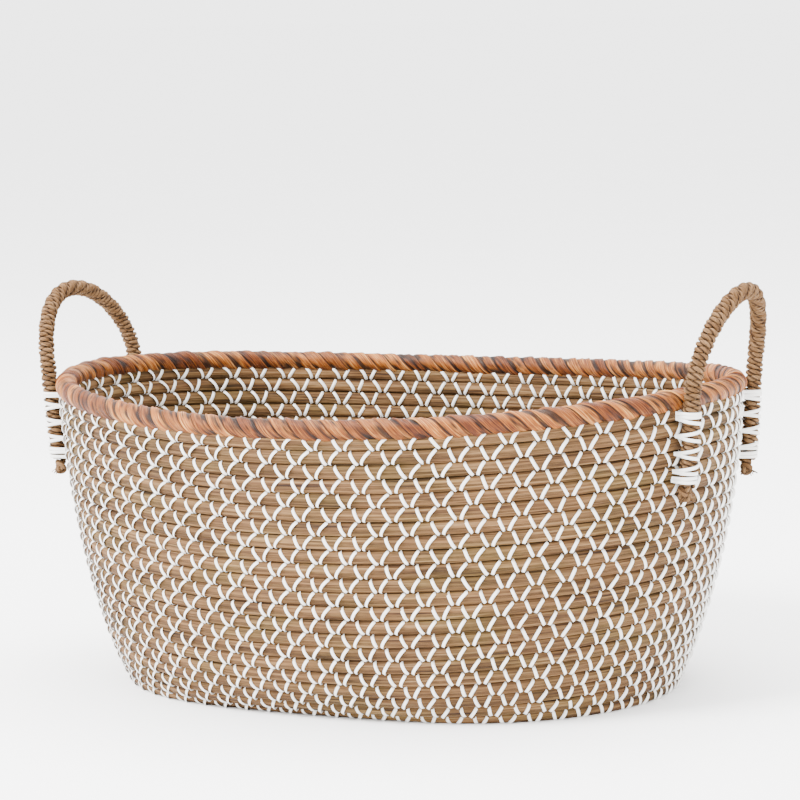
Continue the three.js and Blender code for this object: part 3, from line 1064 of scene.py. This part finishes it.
@dataclass(frozen=True)
class RopeLine:
    """The line of one handle: up one leg, over the loop and down the other leg."""

    field: WallField
    end: End
    rise: float
    radius: float = 6.5
    half_spread: float = 60.0
    reach: float = 17.0
    foot_lean: float = math.radians(8)
    lashing_start: float = WallShape.rim_radius + LASHING_CLEAR
    lashing_length: float = 49.0
    tail: float = 2.0
    ribbon: float = 0.9
    clearance: float = 0.3
    lashing_gap: float = 0.6
    smooth_over: float = 9.0

    @property
    def rope_end(self) -> float:
        """How far down the wall the legs reach."""
        return self.lashing_start + self.lashing_length + self.tail

    def beside_wall(self, side: int, drop: np.ndarray) -> tuple[np.ndarray, np.ndarray]:
        """The middle of a leg, and the outward direction there.

        Args:
            side: 1 for the back leg, -1 for the front one.
            drop: distances below the rim line, negative above it.

        Returns:
            The points and directions.
        """
        shape = self.field.shape
        leg_turn = math.asin(self.half_spread / shape.rim_half_width)
        turn = side * leg_turn if self.end is End.RIGHT else math.pi - side * leg_turn
        lines = shape.lines(np.array([turn]))[:, 0]
        level = np.clip(shape.courses - drop / shape.pitch, 0, shape.courses)
        middle = read_line(level, np.arange(len(lines)), lines)
        facing = math.atan2(shape.rim_half_length * math.sin(turn), shape.rim_half_width * math.cos(turn))
        outward = np.array([math.cos(facing), math.sin(facing), 0.0])
        rim = shape.rim_radius + self.clearance + self.radius
        wall = shape.thickness / 2 + self.clearance + self.ribbon + self.lashing_gap + self.radius
        offset = rim + (wall - rim) * np.clip(drop / self.lashing_start, 0, 1)
        middle = middle + outward * offset[:, None]
        middle[:, 2] += np.maximum(-drop, 0)
        return middle, np.broadcast_to(outward, middle.shape)

    def crossing(self, side: int) -> np.ndarray:
        """Where a leg crosses the rim, level with the top of the roll."""
        return self.beside_wall(side, np.array([-self.field.shape.rim_radius]))[0][0]

    def points(self) -> np.ndarray:
        """The whole line from the front leg's end to the back leg's, in steps of about 1 mm.

        The loop is two cubic curves that meet at its top.
        """
        drops = np.linspace(self.rope_end, -self.field.shape.rim_radius, 76)
        front, back = self.crossing(-1), self.crossing(1)
        top = np.array([front[0] + self.end.value * self.reach, 0.0, front[2] + self.rise])
        share = np.linspace(0, 1, 120)[1:, None]
        lean = self.end.value * self.rise * 0.5 * math.tan(self.foot_lean)
        curves = []
        for foot in (front, back):
            first = foot + np.array([lean, 0.0, self.rise * 0.5])
            second = np.array([top[0], foot[1] * 0.6, top[2]])
            left = 1 - share
            curves.append(foot * left**3 + 3 * first * left**2 * share + 3 * second * left * share**2
                          + top * share**3)
        legs = [self.beside_wall(side, drops)[0] for side in (-1, 1)]
        return np.concatenate([legs[0], curves[0], curves[1][:-1][::-1], legs[1][::-1]])

    def even(self, step: float) -> np.ndarray:
        """The line's points at even steps, with its corners smoothed."""
        points = self.points()
        way = travelled(points)
        even = np.linspace(0, way[-1], int(way[-1] / step) + 1)
        line = read_line(even, way, points)
        reach = int(self.smooth_over / 2 / step)
        padded = np.concatenate([np.repeat(line[:1], reach, 0), line, np.repeat(line[-1:], reach, 0)])
        kernel = np.ones(2 * reach + 1) / (2 * reach + 1)
        smooth = np.stack([np.convolve(padded[:, k], kernel, "valid") for k in range(3)], -1)
        smooth[:reach], smooth[-reach:] = line[:reach], line[-reach:]
        return smooth


@dataclass(frozen=True)
class RopeHandle:
    """A handle: two-ply cord wound side by side round a cane core, over the loop and both legs."""

    line: RopeLine
    name: str
    cord_radius: float = 2.45
    pitch: float = 4.7
    stops_each: int = 36
    columns: int = 12
    ply_run: float = 12.0
    bend_below: float = 5.0
    bend_above: float = 6.0
    turn_wander: float = 0.042
    orbit_wander: float = 0.15
    ply_neck: float = 0.5
    ply_crown: float = 0.55

    def build(self, dresser: Dresser) -> None:
        """Makes, dresses and places the winding.

        The cord's middle runs round the handle's line at a fixed radius, one pitch further
        for each turn. Its section is a peanut of two plies that turns as it goes.
        """
        path = self.line.even(0.5)
        way = travelled(path)
        turns = way[-1] / self.pitch
        stops = int(turns * self.stops_each)
        run = np.linspace(0, way[-1], stops)
        centre = read_line(run, way, path)
        tangent = unit(np.gradient(centre, axis=0))
        first = unit(np.array([1.0, 0, 0]) - tangent * tangent[:, :1])
        second = np.cross(tangent, first)
        seed = 3 if self.line.end is End.LEFT else 4
        share, flat = run / way[-1], np.zeros(stops)
        sway = closed_noise(seed, int(turns / 2), 1, share, flat)
        angle = (run / self.pitch + self.turn_wander * sway) * FULL_TURN
        radial = first * np.cos(angle)[:, None] + second * np.sin(angle)[:, None]
        unevenness = closed_noise(seed + 5, int(turns * 3), 1, share, flat)
        orbit = self.line.radius - self.cord_radius + self.orbit_wander * unevenness
        cord = centre + radial * orbit[:, None]
        ahead = unit(np.gradient(cord, axis=0))
        out = unit(radial - ahead * np.einsum("ij,ij->i", radial, ahead)[:, None])
        side = np.cross(ahead, out)
        length = travelled(cord)
        around = (np.arange(self.columns) / self.columns)[None, :] * FULL_TURN
        twist = length[:, None] / self.ply_run * FULL_TURN
        ply = np.abs(np.cos(around - twist))
        section = self.cord_radius * (self.ply_neck + self.ply_crown * ply**0.8)
        points = round_line(cord[:, None], out[:, None], side[:, None], around, section)
        wide = (stops, self.columns)
        strand = np.mod(around - twist, math.pi) * self.cord_radius
        flow = stacked(wide, length[:, None], strand, 0.0)
        # painted shade: dark between the plies and on the side of the cord that faces the core
        crease = ply * np.clip(0.75 + 0.6 * np.cos(around), 0, 1)
        faces = tube_faces(stops, self.columns, ring=False)
        attributes = {"flow": flow, "crease": np.broadcast_to(crease, wide)}
        piece = make_piece(f"{self.name}_handle_winding", points, faces, attributes)
        dresser.dress(piece, Slot.ROPE)
        flex = self.line.crossing(1) * MM
        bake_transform(piece)
        legs = [f"{self.name}_{place}_leg_wrap" for place in ("front", "back")]
        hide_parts(f"{self.name}_handle_wrap", *legs)


@dataclass(frozen=True)
class Lashing:
    """White ribbon that sews a leg to the wall: bands at top and bottom, and a zigzag between."""

    line: RopeLine
    name: str
    side: int
    width: float = 2.5
    thickness: float = 0.4
    stops: int = 15
    wrap_share: float = 0.62
    tuck: float = 8.5
    stand_off: float = 0.65

    def passes(self) -> np.ndarray:
        """Start and end of every pass over the leg, as distances below the rim line."""
        start, length = self.line.lashing_start, self.line.lashing_length
        top = [(start, start + 1.0), (start + 2.8, start + 2.4)]
        corner, count = start + 4, 6
        step = (length - 12) / count
        zigzag = [(corner + k * step, corner + (k + 1) * step) for k in range(count)]
        zigzag = [pair if k % 2 == 0 else pair[::-1] for k, pair in enumerate(zigzag)]
        last = start + length
        bottom = [(last - 7.6, last - 5.6), (last - 3.2, last - 3.8), (last - 1.2, last)]
        return np.array(top + zigzag + bottom)

    def build(self, dresser: Dresser) -> None:
        """Makes, dresses and places the ribbon.

        A pass runs half round the outside of the leg and then straight back to the wall.
        """
        passes = self.passes()
        sweep = np.linspace(-1, 1, self.stops)
        arc = np.clip(sweep / self.wrap_share, -1, 1) * math.pi / 2
        past = (np.abs(sweep) - self.wrap_share) / (1 - self.wrap_share)
        back = np.clip(past, 0, 1) * self.tuck
        drop = passes[:, :1] + (passes[:, 1:] - passes[:, :1]) * (sweep + 1) / 2
        middle, outward = self.line.beside_wall(self.side, drop.ravel())
        middle, outward = middle.reshape(*drop.shape, 3), outward.reshape(*drop.shape, 3)
        sideways = np.cross(np.array([0.0, 0, 1]), outward)
        radius = self.line.radius + self.stand_off
        radial = outward * np.cos(arc)[:, None] + sideways * np.sin(arc)[:, None]
        centres = middle + radial * radius - outward * back[:, None]
        points, faces, flow = ribbon_mesh(centres, radial, self.width, self.thickness)
        piece = make_piece(f"{self.name}_lashing_ribbon", points, faces, {"flow": flow})
        dresser.dress(piece, Slot.RIBBON)
        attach(piece, BASKET)
        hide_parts(f"{self.name}_lashing")


@dataclass(frozen=True)
class EndKnot:
    """The end of the winding under a lashing, tied in an overhand knot and a little frayed."""

    line: RopeLine
    name: str
    side: int
    loop: float = 1.5
    depth: float = 1.5
    cord_radius: float = 2.35
    drop: float = 5.4
    rows: int = 96
    columns: int = 12
    fibres: int = 14
    ply_depth: float = 0.28
    twists: int = 4
    flow_run: float = 8.0
    fray_fall: float = 4.5
    fray_out: float = 1.5
    seed: int = 40

    def build(self, dresser: Dresser) -> None:
        """Makes, dresses and places the knot.

        The cord runs along a closed three-lobed knot that faces away from the wall. Short fibres leave its
        lower side in random directions.
        """
        seed = self.seed + sum(map(ord, self.name))
        at, outward = self.line.beside_wall(self.side, np.array([self.line.rope_end + self.drop]))
        at, outward = at[0], outward[0]
        level = np.cross([0.0, 0.0, 1.0], outward)
        t = np.arange(self.rows)[:, None] / self.rows * FULL_TURN
        across, up, out = np.sin(t) + 2 * np.sin(2 * t), np.cos(t) - 2 * np.cos(2 * t), -np.sin(3 * t)
        cord = at + self.loop * (level * across + np.cross(outward, level) * up + outward * out * self.depth)
        ahead = unit(np.roll(cord, -1, axis=0) - np.roll(cord, 1, axis=0))
        first = unit(np.cross(ahead, outward))
        second = np.cross(first, ahead)
        around = (np.arange(self.columns) / self.columns)[None, :] * FULL_TURN
        turned = around - self.twists * t
        ply = np.abs(np.cos(turned))
        radius = self.cord_radius * (1 - self.ply_depth + self.ply_depth * ply)
        body = round_line(cord[:, None], first[:, None], second[:, None], around, radius)
        faces = tube_faces(self.rows, self.columns, ring=True)
        flow = stacked(ply.shape, t * self.flow_run, np.mod(turned, math.pi) * self.cord_radius, 0.0)
        # painted shade: dark between the plies of the knotted cord
        crease = 0.15 + 0.85 * ply
        rng = np.random.default_rng(seed + 1)
        turn = rng.uniform(0, FULL_TURN, (self.fibres, 1))
        share = np.linspace(0, 1, 5)[None, :]
        spread = rng.uniform(1.5, 5.0, (self.fibres, 1))
        spread = spread * (0.5 + share * rng.uniform(0.4, 1.4, (self.fibres, 1)))
        fall = rng.uniform(0.45, 1.05, (self.fibres, 1)) * self.fray_fall * share
        fibre = np.stack([np.cos(turn) * spread, np.sin(turn) * spread, -2.0 - fall], -1)
        fibre = fibre + at + outward * self.fray_out
        normals = np.broadcast_to(outward, fibre.shape)
        more, more_faces, more_flow = ribbon_mesh(fibre, normals, 0.9, 0.5)
        points = np.concatenate([body.reshape(-1, 3), more.reshape(-1, 3)])
        faces = np.concatenate([faces, more_faces + body.size // 3])
        flow = np.concatenate([flow.reshape(-1, 3), more_flow.reshape(-1, 3)])
        # the frayed fibres get one even value of the painted shade
        crease = np.concatenate([crease.ravel(), np.full(more.size // 3, 0.5)])
        piece = make_piece(f"{self.name}_knot_fray", points, faces, {"flow": flow, "crease": crease})
        dresser.dress(piece, Slot.ROPE)
        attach(piece, BASKET)
        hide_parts(f"{self.name}_end_knot")


@dataclass(frozen=True)
class Handles:
    """Both handles with their lashings and knots."""

    field: WallField
    rises: tuple[tuple[End, float], ...] = ((End.LEFT, 59.0), (End.RIGHT, 65.0))

    def build(self, dresser: Dresser) -> None:
        """Makes every piece of both handles."""
        for end, rise in self.rises:
            name = end.name.lower()
            line = RopeLine(self.field, end, rise)
            RopeHandle(line, name).build(dresser)
            for place, side in (("front", -1), ("back", 1)):
                Lashing(line, f"{name}_{place}", side).build(dresser)
                EndKnot(line, f"{name}_{place}", side).build(dresser)


# ---------------------------------------------------------------- studio


@dataclass(frozen=True)
class Studio:
    """A plain white floor, soft light from the upper left and a camera with a long lens."""

    yaw: float = math.radians(25.7)
    elevation: float = math.radians(9.4)
    roll: float = math.radians(-1.62)
    distance: float = 2.497
    target_height: float = 0.12
    lens: float = 146.5
    aim_up: float = 0.03736
    aim_right: float = 0.00063
    room_light: float = 3.8
    far: float = 200.0
    floor_half_mm: float = 40000.0

    def camera(self) -> None:
        """Sets the camera: round the basket by its yaw, up by its elevation, and rolled."""
        ahead = Vector((-math.sin(self.yaw), math.cos(self.yaw), 0))
        look = ahead * math.cos(self.elevation) - Vector((0, 0, math.sin(self.elevation)))
        above = ahead * math.sin(self.elevation) + Vector((0, 0, math.cos(self.elevation)))
        right = Vector((math.cos(self.yaw), math.sin(self.yaw), 0))
        place = Vector((0, 0, self.target_height)) - look * self.distance
        rolled_right = right * math.cos(self.roll) + above * math.sin(self.roll)
        rolled_above = above * math.cos(self.roll) - right * math.sin(self.roll)
        look = (look + rolled_right * self.aim_right + rolled_above * self.aim_up).normalized()
        side = look.cross(rolled_above).normalized()
        above = side.cross(look)
        data = bpy.data.cameras.new("camera")
        data.lens = self.lens
        data.clip_end = self.far
        camera = bpy.data.objects.new("camera", data)
        turned = Matrix((side, above, -look)).transposed().to_4x4()
        camera.matrix_world = Matrix.Translation(place) @ turned
        bpy.context.scene.collection.objects.link(camera)
        bpy.context.scene.camera = camera

    def light(self, name: str, place: tuple[float, float, float], size: float, power: float) -> None:
        """Adds a square soft light that faces the basket."""
        data = bpy.data.lights.new(name, "AREA")
        data.size = size
        data.energy = power
        lamp = bpy.data.objects.new(name, data)
        lamp.location = place
        towards = Vector((0, 0, 0.1)) - Vector(place)
        lamp.rotation_euler = towards.to_track_quat("-Z", "Y").to_euler()
        bpy.context.scene.collection.objects.link(lamp)

    def floor(self) -> None:
        """Adds the floor, slightly mottled so that it isn't perfectly even."""
        half = self.floor_half_mm
        points = np.array([[-half, -half, 0], [half, -half, 0], [half, half, 0], [-half, half, 0]], float)
        mesh = bpy.data.meshes.new("floor")
        mesh.from_pydata((points * MM).tolist(), [], [(0, 1, 2, 3)])
        floor = bpy.data.objects.new("floor", mesh)
        bpy.context.scene.collection.objects.link(floor)
        m = Weave("matt white studio paint")
        place = m.add("TexCoord").outputs["Object"]
        colour = m.ramp(m.noise(place, (4.0, 4.0, 4.0)), [(0.0, "#FCFCFC"), (1.0, "#FFFFFF")])
        m.feed(m.surface, {"Base Color": colour, "Roughness": 0.9})
        mesh.materials.append(m.material)

    def build(self) -> None:
        """Sets the camera, lights, floor and surroundings."""
        self.camera()
        self.floor()
        self.light("key softbox", (-1.6, -2.2, 2.6), 1.4, 400)
        self.light("fill softbox", (2.4, -1.8, 1.6), 2.4, 40)
        self.light("top softbox", (0.2, 0.6, 2.8), 2.0, 130)
        world = bpy.data.worlds.new("white room")
        world.use_nodes = True
        background = world.node_tree.nodes["Background"]
        background.inputs["Color"].default_value = (1, 1, 1, 1)
        background.inputs["Strength"].default_value = self.room_light
        bpy.context.scene.world = world


# ---------------------------------------------------------------- the whole basket


def main() -> None:
    """Builds the basket round the CAD frame."""
    logging.basicConfig(level=logging.INFO, format="%(name)s: %(message)s")
    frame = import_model()
    field = WallField(WallShape())
    dresser = Dresser()
    for name, node in frame["nodes"].items():
        if name.endswith("_core"):
            dresser.dress_node(node, Slot.CANE)
    CoilWall(field).build(dresser)
    base = BaseCoil(field.shape)
    base.build(dresser)
    StitchNet(field).build(dresser)
    BaseStitches(base).build(dresser)
    RimRoll(field).build(dresser)
    Handles(field).build(dresser)
    Studio().build()
    bpy.context.view_layer.update()


if __name__ == "__main__":
    main()
